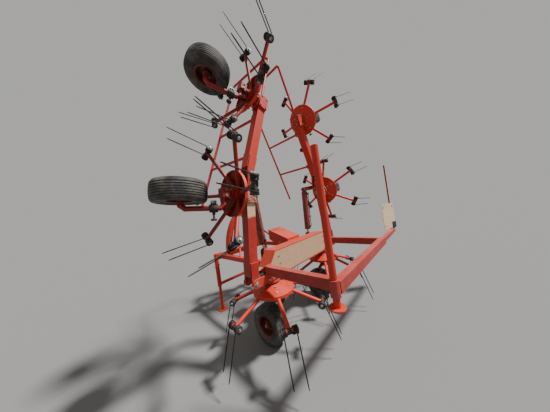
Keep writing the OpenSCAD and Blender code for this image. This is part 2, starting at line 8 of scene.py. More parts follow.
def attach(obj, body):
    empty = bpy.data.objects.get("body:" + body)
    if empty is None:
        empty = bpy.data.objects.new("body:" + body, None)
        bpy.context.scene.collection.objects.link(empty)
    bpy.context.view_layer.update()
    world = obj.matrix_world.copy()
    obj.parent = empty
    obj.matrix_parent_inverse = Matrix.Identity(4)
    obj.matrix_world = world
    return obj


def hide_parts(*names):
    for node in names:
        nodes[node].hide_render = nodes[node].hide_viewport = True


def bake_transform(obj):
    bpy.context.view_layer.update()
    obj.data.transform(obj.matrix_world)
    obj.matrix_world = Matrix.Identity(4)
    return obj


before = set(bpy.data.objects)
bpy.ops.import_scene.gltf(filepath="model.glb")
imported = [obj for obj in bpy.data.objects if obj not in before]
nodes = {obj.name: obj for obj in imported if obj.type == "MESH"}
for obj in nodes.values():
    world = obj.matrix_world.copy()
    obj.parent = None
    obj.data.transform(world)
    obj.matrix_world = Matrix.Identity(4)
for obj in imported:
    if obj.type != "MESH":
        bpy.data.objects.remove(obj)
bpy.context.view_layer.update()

# Centre box
# Folded from steel sheet and welded, with fold brackets and a bevel gear head at each end.
# Its red paint is chalky, and the rear face has bleached to tan.


class Wire:
    """An output of a node. Sums and products of wires add the Math nodes that they need."""

    def __init__(self, paint, socket):
        self.paint, self.socket = paint, socket

    def math(self, operation, *values):
        return self.paint.node("ShaderNodeMath", {"operation": operation}, dict(enumerate(values)))

    def __abs__(self):
        return self.math("ABSOLUTE", self)

    def __add__(self, other):
        return self.math("ADD", self, other)

    def __radd__(self, other):
        return self.math("ADD", other, self)

    def __sub__(self, other):
        return self.math("SUBTRACT", self, other)

    def __rsub__(self, other):
        return self.math("SUBTRACT", other, self)

    def __mul__(self, other):
        return self.math("MULTIPLY", self, other)

    def __rmul__(self, other):
        return self.math("MULTIPLY", other, self)

    def step(self, low, high):
        """0 below low, 1 above high, and smooth between them."""
        return self.paint.node(
            "ShaderNodeMapRange",
            {"interpolation_type": "SMOOTHSTEP"},
            {"Value": self, "From Min": low, "From Max": high},
        )


class Paint:
    """A node material on a Principled shader."""

    def __init__(self, name, **constants):
        self.material = bpy.data.materials.new(name)
        self.material.use_nodes = True
        self.tree = self.material.node_tree
        self.shader = self.tree.nodes["Principled BSDF"]
        for socket, value in constants.items():
            self.shader.inputs[socket.replace("_", " ")].default_value = value

    def node(self, kind, settings=None, sockets=None, out=0):
        made = self.tree.nodes.new(kind)
        for key, value in (settings or {}).items():
            setattr(made, key, value)
        for key, value in (sockets or {}).items():
            self.feed(made.inputs[key], value)
        return Wire(self, made.outputs[out])

    def feed(self, socket, value):
        if isinstance(value, Wire):
            self.tree.links.new(value.socket, socket)
        elif isinstance(value, tuple) and len(value) == 3 and socket.type == "RGBA":
            socket.default_value = (*value, 1.0)
        else:
            socket.default_value = value

    def place(self, out="Object"):
        return self.node("ShaderNodeTexCoord", out=out)

    def point(self):
        """X, Y and Z of the place that is being painted."""
        return [self.node("ShaderNodeSeparateXYZ", {}, {0: self.place()}, out=i) for i in range(3)]

    def noise(self, scale, detail, rough, stretch=(1, 1, 1), shift=(0, 0, 0)):
        place = self.node(
            "ShaderNodeMapping",
            {"vector_type": "POINT"},
            {"Vector": self.place(), "Scale": stretch, "Location": shift},
        )
        return self.node(
            "ShaderNodeTexNoise",
            {},
            {"Vector": place, "Scale": scale, "Detail": detail, "Roughness": rough},
        )

    def mix(self, share, first, second):
        return self.node(
            "ShaderNodeMix",
            {"data_type": "RGBA"},
            {"Factor": share, 6: first, 7: second},
            out=2,
        )

    def lean(self, first, second):
        """Cosine of the angle between two unit vectors."""
        return self.node(
            "ShaderNodeVectorMath", {"operation": "DOT_PRODUCT"}, {0: first, 1: second}, out="Value"
        )

    def edges(self, radius):
        """1 on worn outer edges, from how far a rounded normal leans from the true one."""
        soft = self.node("ShaderNodeBevel", {"samples": 4}, {"Radius": radius})
        flat = self.node("ShaderNodeNewGeometry", out="Normal")
        return (1.0 - self.lean(soft, flat)).step(0.015, 0.10)

    def upward(self):
        """Height share of the surface's own normal, in the folded machine's frame."""
        return self.node("ShaderNodeSeparateXYZ", {}, {0: self.place("Normal")}, out="Z")

    def bump(self, height, distance, strength):
        lifted = self.node(
            "ShaderNodeBump",
            {},
            {"Height": height, "Distance": distance, "Strength": strength},
            out="Normal",
        )
        self.feed(self.shader.inputs["Normal"], lifted)

    def finish(self, colour, rough, metal=None):
        self.feed(self.shader.inputs["Base Color"], colour)
        self.feed(self.shader.inputs["Roughness"], rough)
        if metal is not None:
            self.feed(self.shader.inputs["Metallic"], metal)
        return self.material


def aged_red(name, fresh, bleached, bleach, dirt_and_shade, panel=None):
    """Old machine paint: bleached in patches and on top, chipped at edges, dusty in places, and a little
    darker on downward faces as painted shade.
    """
    pink_chalk, soil_and_shade = (0.50, 0.125, 0.078), (0.060, 0.030, 0.022)
    rust_brown, drip_brown = (0.115, 0.036, 0.016), (0.10, 0.05, 0.04)
    paint = Paint(name, IOR=1.46)
    patches = paint.noise(3.1, 5.0, 0.6)
    mottle = paint.noise(23.0, 4.0, 0.6, shift=(3.1, 0.4, 1.7))
    grain = paint.noise(310.0, 3.0, 0.6)
    up = paint.upward()
    sun = (patches * 0.7 + mottle * 0.45 + up * 0.16 - 0.62 + bleach * 0.5).step(0.0, 0.55)
    colour = paint.mix(sun, fresh, bleached)
    edge = paint.edges(0.006) * (0.35 + mottle)
    chalk = (edge * 0.55 + (mottle - 0.62).step(0.0, 0.2) * 0.25).step(0.05, 0.9)
    colour = paint.mix(chalk, colour, pink_chalk)
    if panel is not None:
        colour = panel(paint, colour, mottle)
    # Dust in noisy patches, with painted shade that leans the dark soil colour onto downward faces
    grime_and_shade = paint.noise(6.5, 6.0, 0.68, shift=(8.0, 2.0, 5.0)) * 0.8 + grain * 0.25 - up * 0.05
    grime_and_shade = grime_and_shade.step(0.62 - dirt_and_shade * 0.14, 0.84)
    colour = paint.mix(grime_and_shade * dirt_and_shade, colour, soil_and_shade)
    rust = (paint.noise(48.0, 5.0, 0.7, shift=(1.0, 7.0, 3.0)) + edge * 0.12).step(0.69, 0.76)
    colour = paint.mix(rust * 0.85, colour, rust_brown)
    drips = paint.noise(36.0, 3.0, 0.5, stretch=(1, 1, 0.07), shift=(2, 2, 2)).step(0.60, 0.80)
    colour = paint.mix(drips * 0.16, colour, drip_brown)
    paint.bump(grain * 0.3 + mottle * 0.5 - rust * 0.6, 0.0012, 0.55)
    return paint.finish(colour, 0.42 + sun * 0.20 + grain * 0.10 + rust * 0.25)


rear_face, lower_seam, upper_seam = -0.3200, 0.722, 0.962


def tan_face(paint, colour, mottle):
    """The bleached rear face of the centre box, between its seams and its slanting ends."""
    light_tan, dark_tan = (0.47, 0.305, 0.180), (0.35, 0.215, 0.125)
    x, y, z = paint.point()
    out = abs(x)
    ragged = mottle * 0.01
    face = (rear_face + 0.0008 - y).step(0.0, 0.0004)
    face = face * (z - lower_seam).step(0.0, 0.010) * (upper_seam - z).step(0.0, 0.006)
    # The two slanting cuts of the sheet's ends, above and below
    face = face * (1.262 - out - z * 0.791 + ragged).step(0.0, 0.012)
    face = face * (z * 1.597 - 0.728 - out + ragged).step(0.0, 0.012)
    return paint.mix(face, colour, paint.mix(mottle, light_tan, dark_tan))


def dress(material, *names):
    """Gives CAD nodes one material."""
    for name in names:
        mesh = nodes[name].data
        mesh.materials.clear()
        mesh.materials.append(material)


box_paint = aged_red(
    "centre_box_paint",
    fresh=(0.38, 0.013, 0.004),
    bleached=(0.46, 0.052, 0.026),
    bleach=0.55,
    dirt_and_shade=0.30,
    panel=tan_face,
)
dress(box_paint, "main_beam")


class Mesh:
    """Gathers the shapes of one piece."""

    def __init__(self):
        self.points, self.faces = [], []

    def add(self, place, points, faces):
        first = len(self.points)
        self.points += [place @ Vector(p) for p in points]
        mirrored = place.determinant() < 0
        for face in faces:
            ring = [first + i for i in face]
            self.faces.append(ring[::-1] if mirrored else ring)

    def turned(self, place, profile, steps):
        """A closed profile of (radius, height) points turned round the local Z axis."""
        points = [
            (r * math.cos(a), r * math.sin(a), z)
            for a in (2 * math.pi * i / steps for i in range(steps))
            for r, z in profile
        ]
        n = len(profile)
        faces = []
        for i in range(steps):
            here, there = i * n, (i + 1) % steps * n
            for j in range(n):
                after = (j + 1) % n
                if profile[j][0] > 1e-6 or profile[after][0] > 1e-6:
                    faces.append((here + j, there + j, there + after, here + after))
        self.add(place, points, faces)

    def ring(self, place, bore, radius, low, high, steps):
        """A washer, or a disc where the bore is 0."""
        self.turned(place, [(bore, low), (radius, low), (radius, high), (bore, high)], steps)

    def tube(self, place, path, radius, sides):
        """A round rod along a path; radius is one number or one for each point."""
        path = [Vector(p) for p in path]
        radii = radius if isinstance(radius, list) else [radius] * len(path)
        ahead = [
            (path[min(i + 1, len(path) - 1)] - path[max(i - 1, 0)]).normalized()
            for i in range(len(path))
        ]
        across = ahead[0].orthogonal().normalized()
        points = []
        for at, along, r in zip(path, ahead, radii):
            across = (across - along * across.dot(along)).normalized()
            over = along.cross(across)
            points += [
                at + (across * math.cos(a) + over * math.sin(a)) * r
                for a in (2 * math.pi * j / sides for j in range(sides))
            ]
        faces = []
        for i in range(len(path) - 1):
            here, there = i * sides, (i + 1) * sides
            for j in range(sides):
                after = (j + 1) % sides
                faces.append((here + j, here + after, there + after, there + j))
        last = (len(path) - 1) * sides
        faces += [tuple(range(sides))[::-1], tuple(last + j for j in range(sides))]
        self.add(place, points, faces)

    def bolt(self, place, across, high):
        """A hexagon head on its washer, standing on the local XY plane."""
        washer = 0.002
        r = across / 2 / math.cos(math.pi / 6)
        self.ring(place, 0, r * 1.25, 0, washer, 20)
        self.turned(place, [(0, washer), (r, washer), (r, high * 0.8), (r * 0.88, high), (0, high)], 6)

    def box(self, place, low, high):
        """A plate or block with chamfered upright edges, from its low corner to its high one."""
        (x0, y0, z0), (x1, y1, z1) = low, high
        c = min(x1 - x0, y1 - y0) * 0.12
        ring = [
            (x0 + c, y0), (x1 - c, y0), (x1, y0 + c), (x1, y1 - c),
            (x1 - c, y1), (x0 + c, y1), (x0, y1 - c), (x0, y0 + c),
        ]
        points = [(x, y, z) for z in (z0, z1) for x, y in ring]
        faces = [(i, (i + 1) % 8, 8 + (i + 1) % 8, 8 + i) for i in range(8)]
        self.add(place, points, faces + [tuple(range(8))[::-1], tuple(range(8, 16))])

    def made(self, name, material, smooth=35):
        """The object, with creases where faces meet at more than smooth degrees."""
        mesh = bpy.data.meshes.new(name)
        mesh.from_pydata(self.points, [], self.faces)
        mesh.validate()
        work = bmesh.new()
        work.from_mesh(mesh)
        bmesh.ops.remove_doubles(work, verts=work.verts, dist=1e-6)
        work.to_mesh(mesh)
        work.free()
        mesh.polygons.foreach_set("use_smooth", [True] * len(mesh.polygons))
        mesh.set_sharp_from_angle(angle=math.radians(smooth))
        mesh.materials.append(material)
        made = bpy.data.objects.new(name, mesh)
        bpy.context.scene.collection.objects.link(made)
        return made

    def piece(self, name, body, material, smooth=35):
        """The object, riding on a body."""
        made = self.made(name, material, smooth)
        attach(made, body)
        return made


zinc = Paint("weathered_zinc", IOR=1.5)
tarnish = zinc.noise(60.0, 4.0, 0.6)
zinc.bump(tarnish, 0.0004, 0.4)
weathered_zinc = zinc.finish(
    zinc.mix(tarnish.step(0.42, 0.62), (0.42, 0.40, 0.37), (0.14, 0.065, 0.035)),
    0.34 + tarnish * 0.4,
    0.9 - tarnish.step(0.5, 0.6) * 0.6,
)


def facing(place, direction):
    """A frame at place whose +Z looks along the direction."""
    return Matrix.Translation(place) @ Vector(direction).to_track_quat("Z", "Y").to_matrix().to_4x4()


def on_side(side, place):
    """The same place on the left (-1) or on the right (1) of the machine."""
    return Matrix.Diagonal((side, 1.0, 1.0, 1.0)) @ place


def head_bolts(mesh, place, outer_screw=0.056):
    """Cap screws of a bevel gear head: its lid, its flange over the rotor and its side covers."""
    lid_circle, lid_face, flange_circle, flange_face = 0.041, 0.062, 0.0728, -0.064
    inner_screw, cover_row, cover_face = -0.056, 0.034, 0.065
    for i in range(6):
        turn = place @ Matrix.Rotation(math.radians(60 * i + 30), 4, "Z")
        mesh.bolt(turn @ Matrix.Translation((lid_circle, 0, lid_face)), across=0.013, high=0.008)
        mesh.bolt(turn @ Matrix.Translation((flange_circle, 0, flange_face)), across=0.010, high=0.007)
    for s in (-1, 1):
        for x in (inner_screw, outer_screw):
            for z in (-cover_row, cover_row):
                screw = place @ facing((x, s * cover_face, z), (0, s, 0))
                mesh.bolt(screw, across=0.013, high=0.008)


def pin_ends(mesh, place):
    """Washer and split pin on both ends of a hinge pin that lies along the local Y axis."""
    knuckle, washer_bore, washer_radius, washer_thickness = 0.075, 0.0152, 0.025, 0.0032
    pin_radius, pin_low, pin_high = 0.0150, 0.0078, 0.0098
    wire_radius = 0.0021
    for s in (-1, 1):
        end = place @ facing((0, s * knuckle, 0), (0, s, 0))
        mesh.ring(end, washer_bore, washer_radius, 0, washer_thickness, 24)
        chamfered = [(0, pin_low), (pin_radius, pin_low), (pin_radius - 0.0015, pin_high), (0, pin_high)]
        mesh.turned(end, chamfered, 24)
        bent_wire = [(-0.021, 0, 0.0055), (0.021, 0, 0.0055), (0.026, 0.006, 0.0050)]
        mesh.tube(end, bent_wire, wire_radius, 6)


# Driving sizes of the folded machine. The hinge pins lie on the line of the cross shafts.
rotor_pitch = 1.050
rotor_line, shaft_height = -0.245, 0.750
head_to_fold_pin, head_to_contour_pin = 0.250, 0.200
box_head = Matrix.Translation((rotor_pitch / 2, rotor_line, shaft_height))
fold_pin_out = rotor_pitch / 2 + head_to_fold_pin

# Places on the right side: (x, z) on the rear face and on the seat, (y, z) on the hood
seat_face, hood_side = -0.325, 0.120
rivets = (0.462, 0.905), (0.452, 0.835)
hood_bolts = (-0.140, 0.950), (-0.040, 0.950)
seat_bolts = (0.590, 0.740), (0.590, 0.775), (0.630, 0.740)
box_fixings = Mesh()
for side in (-1, 1):
    # The outer screws sit further in here, clear of the rear carrier's seat
    head_bolts(box_fixings, on_side(side, box_head), outer_screw=0.010)
    pin_ends(box_fixings, Matrix.Translation((side * fold_pin_out, rotor_line, shaft_height)))
    for x, z in rivets:
        domed = [(0, 0), (0.011, 0), (0.009, 0.004), (0, 0.0055)]
        box_fixings.turned(facing((side * x, rear_face, z), (0, -1, 0)), domed, 16)
    for y, z in hood_bolts:
        box_fixings.bolt(facing((side * hood_side, y, z), (side, 0, 0)), across=0.017, high=0.008)
    for x, z in seat_bolts:
        box_fixings.bolt(facing((side * x, seat_face, z), (0, -1, 0)), across=0.019, high=0.010)
box_fixings.piece("box_fixings", "frame", weathered_zinc)

# Linkage frame
# Welded of square and bent flat tube, with a telescopic leg in a sleeve on each side. A plain
# pin with a pull ring holds each leg. The prop under the rear carrier has the same paint.
frame_paint = aged_red(
    "frame_paint", fresh=(0.46, 0.017, 0.004), bleached=(0.45, 0.044, 0.021), bleach=0.22, dirt_and_shade=0.42
)
dress(frame_paint, "headstock", "link_clevises", "front_stand", "rear_stand")

leg_out, leg_ahead, lock_height = 0.505, 0.955, 0.660
sleeve_wall, pin_reach, lock_pin_radius = 0.0225, 0.046, 0.0065
ring_radius, ring_drop, ring_wire, ring_steps = 0.018, 0.016, 0.0018, 16
leg_pins = Mesh()
for side in (-1, 1):
    sleeve = Matrix.Translation((side * leg_out, leg_ahead, lock_height))
    for s in (-1, 1):
        leg_pins.tube(sleeve, [(s * sleeve_wall, 0, 0), (s * pin_reach, 0, 0)], lock_pin_radius, 10)
    pull_ring = [
        (pin_reach * side, ring_radius * math.cos(a), ring_radius * math.sin(a) - ring_drop)
        for a in (2 * math.pi * i / ring_steps for i in range(ring_steps + 1))
    ]
    leg_pins.tube(sleeve, pull_ring, ring_wire, 6)
leg_pins.piece("leg_lock_pins", "frame", weathered_zinc)

# Wings
# Each wing is two square steel tubes hinged on cross pins, with a bent tube guard round its
# tip. The inner tubes are deep red under dust, the outer ones and the guards are brighter.


def sunny_patches(paint, colour, mottle):
    """The left inner tube has lost its red below the gear head, and both heads in spots."""
    light_cream, dark_cream, bare_head = (0.60, 0.44, 0.27), (0.46, 0.30, 0.18), (0.36, 0.25, 0.19)
    patch_low, patch_high, head_low, head_high = 1.350, 1.515, 1.475, 1.625
    x, y, z = paint.point()
    ragged = z + mottle * 0.05
    patch = (ragged - patch_low).step(0.0, 0.03) * (patch_high - ragged).step(0.0, 0.03)
    patch = patch * (-0.4 - x).step(0.0, 0.01) * (-0.286 - y).step(0.0, 0.004)
    head = (z - head_low).step(0.0, 0.02) * (head_high - z).step(0.0, 0.02)
    head = head * (mottle - 0.40).step(0.0, 0.14)
    colour = paint.mix(head * 0.75, colour, bare_head)
    return paint.mix(patch * 0.9, colour, paint.mix(mottle, light_cream, dark_cream))


wing_paint = aged_red(
    "wing_paint",
    fresh=(0.28, 0.010, 0.005),
    bleached=(0.42, 0.050, 0.028),
    bleach=0.30,
    dirt_and_shade=0.55,
    panel=sunny_patches,
)
tip_paint = aged_red(
    "outer_wing_paint", fresh=(0.44, 0.017, 0.004), bleached=(0.46, 0.048, 0.020), bleach=0.20, dirt_and_shade=0.50
)
sides = ("left", -1), ("right", 1)
for name, _ in sides:
    dress(wing_paint, f"inner_beam_{name}")
    dress(tip_paint, f"outer_beam_{name}", f"guard_{name}")

# Where the right wing's parts are, folded. Local X runs along the tube, away from its hinge.
inner_head_out = rotor_pitch - head_to_fold_pin
outer_head_out = rotor_pitch - head_to_contour_pin
fold_pin = Matrix.Translation((fold_pin_out, rotor_line, shaft_height))
inner_wing = fold_pin @ Matrix.Rotation(math.radians(-96.5), 4, "Y")
contour_pin = inner_wing @ Matrix.Translation((inner_head_out + head_to_contour_pin, 0.0, 0.0))
outer_wing = contour_pin @ Matrix.Rotation(math.radians(-15.5), 4, "Y")
inner_head = inner_wing @ Matrix.Translation((inner_head_out, 0, 0))
outer_head = outer_wing @ Matrix.Translation((outer_head_out, 0, 0))

lug_out, lug_ahead, lug_above, lug_face = 0.883, 0.150, 0.175, 0.0322
lug_bore, lug_washer, lug_washer_thickness = 0.0127, 0.021, 0.003
strut_bolts, strut_bolt_ahead, tube_top = (0.195, 0.235, 0.680, 0.720), 0.063, 0.030
for name, side in sides:
    wing_fixings = Mesh()
    head_bolts(wing_fixings, on_side(side, inner_head))
    pin_ends(wing_fixings, on_side(side, contour_pin))
    # Washers on the pin of the fold cylinder's barrel
    for s in (-1, 1):
        lug = inner_wing @ facing((lug_out, lug_ahead + s * lug_face, lug_above), (0, s, 0))
        wing_fixings.ring(on_side(side, lug), lug_bore, lug_washer, 0, lug_washer_thickness, 20)
    wing_fixings.piece(f"inner_wing_fixings_{name}", f"inner_{name}", weathered_zinc)
    tip_fixings = Mesh()
    head_bolts(tip_fixings, on_side(side, outer_head))
    # Bolts that clamp the two guard struts and the guard's end to the tube
    for x in strut_bolts:
        clamp = on_side(side, outer_wing @ facing((x, strut_bolt_ahead, tube_top), (0, 0, 1)))
        tip_fixings.bolt(clamp, across=0.015, high=0.008)
    tip_fixings.piece(f"outer_wing_fixings_{name}", f"outer_{name}", weathered_zinc)

# Hinge bellows
# Moulded black rubber sleeves keep dirt off the drive joints inside the hinges. A band at
# each end holds them.


def dusted(name, bare, dust, grain, shows, relief, matt, metal=None):
    """A plain dark finish with patches of dust or rust, which are also rougher."""
    coat = Paint(name, IOR=1.5)
    patches = coat.noise(*grain)
    coat.bump(patches, *relief)
    low, change = matt
    return coat.finish(coat.mix(patches.step(*shows), bare, dust), low + patches * change, metal)


bellows_rubber = dusted(
    "bellows_rubber",
    bare=(0.014, 0.014, 0.015),
    dust=(0.070, 0.062, 0.055),
    grain=(70.0, 5.0, 0.65),
    shows=(0.45, 0.75),
    relief=(0.0008, 0.5),
    matt=(0.50, 0.35),
)


def bellows(side, first, bend, last):
    """A ribbed sleeve along the curve from the first point past the bend to the last."""
    rings, crest, root, band = 36, 0.036, 0.030, 0.037
    path = [
        first * (1 - t) ** 2 + bend * 2 * t * (1 - t) + last * t ** 2
        for t in (i / rings for i in range(rings + 1))
    ]
    radii = [crest if i % 4 in (0, 1) else root for i in range(rings + 1)]
    radii[:3] = radii[-3:] = [band] * 3
    sleeve = Mesh()
    sleeve.tube(on_side(side, Matrix.Identity(4)), path, radii, 24)
    return sleeve


head_side, past_pin = Vector((0.078, 0, 0)), Vector((0.057, 0, 0))
for name, side in sides:
    inner, outer = f"inner_{name}", f"outer_{name}"
    hinges = (
        ("fold", "frame", inner, box_head @ head_side, fold_pin.translation, inner_wing @ past_pin),
        ("contour", inner, outer, inner_head @ head_side, contour_pin.translation, outer_wing @ past_pin),
    )
    for hinge, near, far, first, bend, last in hinges:
        boot = bellows(side, first, bend, last).made(f"{hinge}_bellows_{name}", bellows_rubber, 60)
        mirrored = on_side(side, Matrix.Identity(4))
        tuple(mirrored @ first)
        tuple(mirrored @ last)
        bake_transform(boot)

# Gearbox
# The central bevel gearbox is grey cast iron under oil and dust, bolted to the box's front.
# Screws hold its input flange and its lid, and a large plug closes the filler.
iron = Paint("greasy_iron", IOR=1.5)
sand = iron.noise(420.0, 3.0, 0.6)
cake = iron.noise(11.0, 6.0, 0.65)
iron.bump(sand * 0.5 + cake, 0.0015, 0.6)
greasy_iron = iron.finish(
    iron.mix(cake.step(0.42, 0.68), (0.034, 0.027, 0.023), (0.125, 0.082, 0.056)),
    0.38 + cake * 0.4,
    0.25,
)
dress(greasy_iron, "gearbox")

input_height, flange_face, flange_circle = 0.860, 0.045, 0.047
lid_side, lid_rear, lid_front, lid_face = 0.092, -0.150, 0.000, 0.920
filler_back, filler_face = -0.075, 0.936
gearbox_bolts = Mesh()
for i in range(6):
    a = math.radians(60 * i)
    screw = (flange_circle * math.cos(a), flange_face, input_height + flange_circle * math.sin(a))
    gearbox_bolts.bolt(facing(screw, (0, 1, 0)), across=0.013, high=0.009)
for x in (-lid_side, lid_side):
    for y in (lid_rear, lid_front):
        gearbox_bolts.bolt(Matrix.Translation((x, y, lid_face)), across=0.017, high=0.011)
gearbox_bolts.bolt(Matrix.Translation((0, filler_back, filler_face)), across=0.032, high=0.014)
gearbox_bolts.piece("gearbox_bolts", "frame", weathered_zinc)

# Rear carrier
# A rectangular tube frame welded behind the rotors. Its right end carries a sheet steel
# warning board, bolted to a rod in a moulded socket, and its paint has bleached to cream.


def cream_board(paint, colour, mottle):
    """The sheet of the warning board, which stands behind its rod and faces a little inwards."""
    light_cream, dark_cream = (0.76, 0.60, 0.40), (0.58, 0.42, 0.26)
    board_low, board_left, rod_back = 0.8545, 1.12, -0.0113
    sine, cosine, rod_line = 0.342, 0.940, -0.4668
    x, y, z = paint.point()
    ahead_of_rod = x * sine + y * cosine - rod_line
    board = (z - board_low).step(0.0, 0.0004) * (x - board_left).step(0.0, 0.003)
    board = board * (rod_back - ahead_of_rod).step(0.0, 0.0004)
    return paint.mix(board, colour, paint.mix(mottle, light_cream, dark_cream))


carrier_paint = aged_red(
    "carrier_paint",
    fresh=(0.26, 0.013, 0.009),
    bleached=(0.38, 0.070, 0.050),
    bleach=0.46,
    dirt_and_shade=0.45,
    panel=cream_board,
)
dress(carrier_paint, "rear_carrier")

rod_out, rod_ahead, board_turn = 1.370, -0.995, math.radians(-20)
board_rod = Matrix.Translation((rod_out, rod_ahead, 0)) @ Matrix.Rotation(board_turn, 4, "Z")
block_low, block_high = (-0.030, -0.0245, 0.8535), (0.0545, 0.0160, 0.9420)
rod_collar = [(0, 0.8460), (0.0250, 0.8460), (0.0250, 0.8660), (0.0180, 0.8720), (0, 0.8720)]
board_foot = Mesh()
board_foot.box(board_rod, block_low, block_high)
board_foot.turned(board_rod, rod_collar, 20)
black_socket = dusted(
    "board_socket",
    bare=(0.014, 0.014, 0.015),
    dust=(0.08, 0.07, 0.06),
    grain=(45.0, 4.0, 0.6),
    shows=(0.5, 0.75),
    relief=(0.0006, 0.4),
    matt=(0.42, 0.35),
)
board_foot.piece("board_socket", "frame", black_socket)

board_face, board_corners = -0.0175, ((-0.190, 0.900), (-0.190, 1.175), (0.020, 1.175))
board_bolts = Mesh()
for x, z in board_corners:
    board_bolts.bolt(board_rod @ facing((x, board_face, z), (0, -1, 0)), across=0.013, high=0.006)
board_bolts.piece("board_bolts", "frame", weathered_zinc)

# Rotors
# Each rotor is a pressed steel dish with six welded tube arms, on ball bearings. Its top is
# the brightest red on the machine, and its underside is darkened with painted shade.
rotors, arms = range(1, 7), 6
shaft_to_rim = 0.150


def rotor_side(k):
    return -1 if k <= 3 else 1


def rotor_place(k):
    """From the rotor's own frame, with +Z up its axis from the dish rim, to the machine's."""
    head = (outer_head, inner_head, box_head, box_head, inner_head, outer_head)[k - 1]
    return on_side(rotor_side(k), head @ Matrix.Translation((0, 0, -shaft_to_rim)))


def arm_place(k, i):
    """From the frame of arm i, which points along +X, to the machine's.

    Neighbouring rotors start half a step apart, so their arms pass between each other.
    """
    phase = rotor_side(k) * (57 if k % 2 else -27)
    return rotor_place(k) @ Matrix.Rotation(math.radians(phase + 360 / arms * i), 4, "Z")


def shaded_below(axis):
    """Painted shade, mottled, darkens what faces down on a rotor whose axis points this way."""
    shade_colour = (0.085, 0.010, 0.007)

    def panel(paint, colour, mottle):
        # Painted shade on the faces that point away from the rotor's axis
        down = (-0.10 - paint.lean(paint.place("Normal"), axis)).step(0.0, 0.30)
        return paint.mix(down * (0.55 + mottle * 0.5), colour, shade_colour)

    return panel


cap_radius, dish_height, dish_run = 0.062, 0.062, 0.143
arm_bolts = 0.105, 0.160
cone = Matrix.Rotation(math.atan2(dish_height, dish_run), 4, "Y")
for k in rotors:
    rotor_paint = aged_red(
        f"rotor_paint_{k}",
        fresh=(0.50, 0.020, 0.004),
        bleached=(0.48, 0.050, 0.022),
        bleach=0.20,
        dirt_and_shade=0.42,
        # The panel paints shade on the rotor's downward faces
        panel=shaded_below(tuple(rotor_place(k).to_3x3() @ Vector((0, 0, 1)))),
    )
    dress(rotor_paint, f"rotor_{k}")
    # Two bolts through the dish into each arm, square to the cone
    dish_bolts = Mesh()
    for i in range(arms):
        for r in arm_bolts:
            top = dish_height - (r - cap_radius) * dish_height / dish_run
            seat = arm_place(k, i) @ Matrix.Translation((r, 0, top)) @ cone
            dish_bolts.bolt(seat, across=0.017, high=0.008)
    dish_bolts.piece(f"dish_bolts_{k}", f"rotor_{k}", weathered_zinc)

# Spring tines
# Every arm carries a double coil spring tine bent from one length of spring wire. A bolt and
# two rubber cups clamp it on the arm's cross tube, and its fingers taper at the tips.
spring_steel = dusted(
    "black_spring_steel",
    bare=(0.018, 0.017, 0.017),
    dust=(0.075, 0.045, 0.032),
    grain=(75.0, 4.0, 0.6),
    shows=(0.5, 0.72),
    relief=(0.0004, 0.4),
    matt=(0.36, 0.3),
    metal=0.55,
)
black_rubber = dusted(
    "black_rubber",
    bare=(0.012, 0.012, 0.013),
    dust=(0.055, 0.050, 0.046),
    grain=(38.0, 4.0, 0.6),
    shows=(0.45, 0.75),
    relief=(0.0006, 0.4),
    matt=(0.45, 0.35),
)
wire, coil_radius, coil_near, coil_width = 0.0046, 0.0258, 0.0238, 0.0275
coil_steps, coil_turn, finger_lean = 60, math.radians(-1062), math.radians(18)
finger_shares = 0.03, 0.15, 0.4, 0.7, 0.93, 1.0
tine_radii = [wire] * (coil_steps + 5) + [0.0044, 0.0030]
long_finger, short_finger = 0.352, 0.326
bridge_foot, bridge_rise = (0.026, coil_near, 0), (0.0262, 0.014, 0.0045)
bridge = [bridge_foot, bridge_rise, (0.0264, 0, 0.006)]
bridge += [(x, -y, z) for x, y, z in (bridge_rise, bridge_foot)]
spool_out, spool_drop, spool_radius, spool_half = 0.457, 0.138, 0.0214, 0.0184
# Half section of a cup from its mouth over the coil to its closed end
cup_end = 0.0690
cup = [
    (0, 0.0575), (0.0290, 0.0575), (0.0318, 0.0560), (0.0318, 0.0655), (0.0300, 0.0680),
    (0.0170, cup_end), (0, cup_end),
]


def coil_and_finger(side, length):
    """The wire's middle line from the bridge round one coil and down its straight finger."""
    turns = [
        (coil_radius * math.cos(a), -side * y, coil_radius * math.sin(a))
        for a, y in (
            (coil_turn * t / coil_steps, coil_near + coil_width * t / coil_steps)
            for t in range(coil_steps + 1)
        )
    ]
    along = Vector((math.sin(finger_lean), 0, -math.cos(finger_lean)))
    return turns + [Vector(turns[-1]) + along * length * share for share in finger_shares]


for k in rotors:
    springs, clamps, cups = Mesh(), Mesh(), Mesh()
    for i in range(arms):
        coil_axis = arm_place(k, i) @ Matrix.Translation((spool_out, 0.0, -spool_drop))
        for s, length in ((1, long_finger), (-1, short_finger)):
            springs.tube(coil_axis, coil_and_finger(s, length), tine_radii, 8)
        springs.tube(coil_axis, bridge, wire, 8)
        side_on = coil_axis @ Matrix.Rotation(math.radians(90), 4, "X")
        cups.ring(side_on, 0, spool_radius, -spool_half, spool_half, 20)
        for turn in (0, math.pi):
            out = side_on @ Matrix.Rotation(turn, 4, "X")
            cups.turned(out, cup, 20)
            clamps.bolt(out @ Matrix.Translation((0, 0, cup_end)), across=0.021, high=0.010)
    cups.piece(f"tine_cups_{k}", f"rotor_{k}", black_rubber, 40)
    made = springs.piece(f"springs_{k}", f"rotor_{k}", spring_steel, 50)
    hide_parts(f"tines_{k}")
    clamps.piece(f"tine_bolts_{k}", f"rotor_{k}", weathered_zinc)

